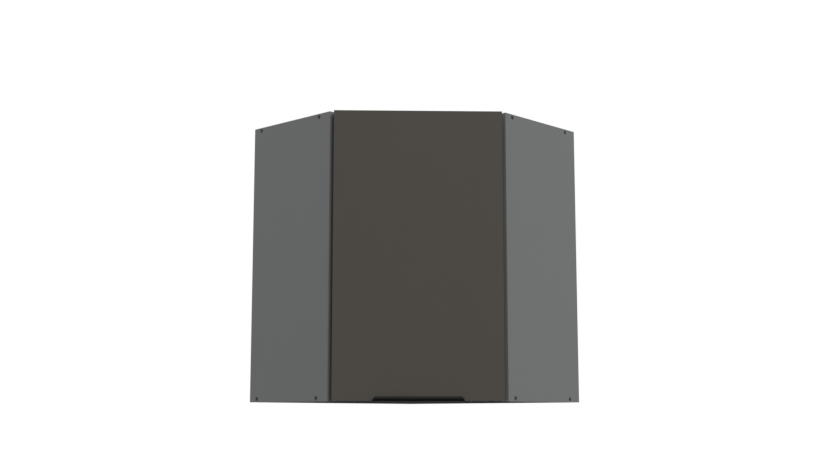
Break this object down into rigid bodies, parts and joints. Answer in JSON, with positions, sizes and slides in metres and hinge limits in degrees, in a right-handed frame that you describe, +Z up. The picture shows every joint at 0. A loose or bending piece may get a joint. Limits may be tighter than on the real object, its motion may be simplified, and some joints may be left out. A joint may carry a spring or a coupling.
{
  "type": "corner wall cabinet",
  "caption": "Corner wall cabinet with a diagonal front: flat door on concealed hinges, bent edge pull below, shelves inside and hooks for a wall rail.",
  "frame": {"origin": "the room corner at the height of the underside: where the two wall planes and the underside meet", "axes": "+Z up; the left leg lies on the wall plane X = 0 and the right leg on the wall plane Y = 0, so the cabinet is at +X, -Y and its door faces (+X, -Y)"},
  "size_m": [0.6048, 0.6048, 0.716],
  "materials": {
    "carcass_board": "fine-grained matt melamine, mid grey",
    "door_board": "smooth matt foil, warm dark grey",
    "back_board": "painted hardboard, light grey",
    "batten": "matt melamine, mid grey",
    "black_metal": "fine matt black powder coat",
    "connector_steel": "dark, low sheen",
    "hinge_steel": "nickel plated, satin",
    "zinc_steel": "zinc plated, satin",
    "grey_plastic": "moulded, light grey",
    "bumper_rubber": "soft, milky"
  },
  "bodies": {
    "cabinet": {"side_panel_left": "carcass_board", "back_panel_left": "back_board", "hanger_housing_left": "grey_plastic", "hanger_adjuster_left": "zinc_steel", "connector_screw_left_bottom_rear": "connector_steel", "connector_screw_left_bottom_front": "connector_steel", "connector_screw_left_top_rear": "connector_steel", "connector_screw_left_top_front": "connector_steel", "shelf_pin_lower_left_rear": "zinc_steel", "shelf_pin_lower_left_front": "zinc_steel", "shelf_pin_upper_left_rear": "zinc_steel", "shelf_pin_upper_left_front": "zinc_steel", "side_panel_right": "carcass_board", "back_panel_right": "back_board", "hanger_housing_right": "grey_plastic", "hanger_adjuster_right": "zinc_steel", "connector_screw_right_bottom_rear": "connector_steel", "connector_screw_right_bottom_front": "connector_steel", "connector_screw_right_top_rear": "connector_steel", "connector_screw_right_top_front": "connector_steel", "shelf_pin_lower_right_rear": "zinc_steel", "shelf_pin_lower_right_front": "zinc_steel", "shelf_pin_upper_right_rear": "zinc_steel", "shelf_pin_upper_right_front": "zinc_steel", "bottom_panel": "carcass_board", "top_panel": "carcass_board", "corner_post": "batten", "shelf_pin_lower_corner": "zinc_steel", "shelf_pin_upper_corner": "zinc_steel", "shelf_lower": "carcass_board", "shelf_upper": "carcass_board", "hinge_arm_lower": "hinge_steel", "hinge_plate_lower": "hinge_steel", "hinge_plate_screw_lower_low": "zinc_steel", "hinge_plate_screw_lower_high": "zinc_steel", "hinge_arm_upper": "hinge_steel", "hinge_plate_upper": "hinge_steel", "hinge_plate_screw_upper_low": "zinc_steel", "hinge_plate_screw_upper_high": "zinc_steel"},
    "door": {"door_panel": "door_board", "door_handle": "black_metal", "handle_screw_left": "zinc_steel", "handle_screw_right": "zinc_steel", "bumper_lower": "bumper_rubber", "bumper_upper": "bumper_rubber", "hinge_cup_lower": "hinge_steel", "hinge_cup_screw_lower_low": "zinc_steel", "hinge_cup_screw_lower_high": "zinc_steel", "hinge_cup_upper": "hinge_steel", "hinge_cup_screw_upper_low": "zinc_steel", "hinge_cup_screw_upper_high": "zinc_steel"},
    "outer_link_lower": {"hinge_outer_link_lower": "hinge_steel"},
    "inner_link_lower": {"hinge_inner_link_lower": "hinge_steel"},
    "outer_link_upper": {"hinge_outer_link_upper": "hinge_steel"},
    "inner_link_upper": {"hinge_inner_link_upper": "hinge_steel"},
    "hook_left": {"hanger_hook_left": "zinc_steel"},
    "hook_right": {"hanger_hook_right": "zinc_steel"}
  },
  "joints": [
    {"name": "door_swing", "type": "hinge", "parent": "cabinet", "child": "door", "pos_m": [0.31198, -0.59334, 0.358], "axis": [0, 0, -1], "range_deg": [0, 95]},
    {"name": "outer_link_lower_turn", "type": "hinge", "parent": "cabinet", "child": "outer_link_lower", "pos_m": [0.31432, -0.56156, 0.0915], "axis": [0, 0, 1], "range_deg": [0, 19.4]},
    {"name": "inner_link_lower_turn", "type": "hinge", "parent": "cabinet", "child": "inner_link_lower", "pos_m": [0.30797, -0.56658, 0.0915], "axis": [0, 0, 1], "range_deg": [0, 5.2]},
    {"name": "outer_link_upper_turn", "type": "hinge", "parent": "cabinet", "child": "outer_link_upper", "pos_m": [0.31432, -0.56156, 0.6245], "axis": [0, 0, 1], "range_deg": [0, 19.4]},
    {"name": "inner_link_upper_turn", "type": "hinge", "parent": "cabinet", "child": "inner_link_upper", "pos_m": [0.30797, -0.56658, 0.6245], "axis": [0, 0, 1], "range_deg": [0, 5.2]},
    {"name": "hook_left_slide", "type": "slide", "parent": "cabinet", "child": "hook_left", "axis": [1, 0, 0], "range_m": [0, 0.008]},
    {"name": "hook_right_slide", "type": "slide", "parent": "cabinet", "child": "hook_right", "axis": [0, -1, 0], "range_m": [0, 0.008]}
  ],
  "couplings": [
    {"joint": "outer_link_lower_turn", "follows": "door_swing", "ratio": 0.20365},
    {"joint": "inner_link_lower_turn", "follows": "door_swing", "ratio": 0.05363},
    {"joint": "outer_link_upper_turn", "follows": "door_swing", "ratio": 0.20365},
    {"joint": "inner_link_upper_turn", "follows": "door_swing", "ratio": 0.05363}
  ]
}
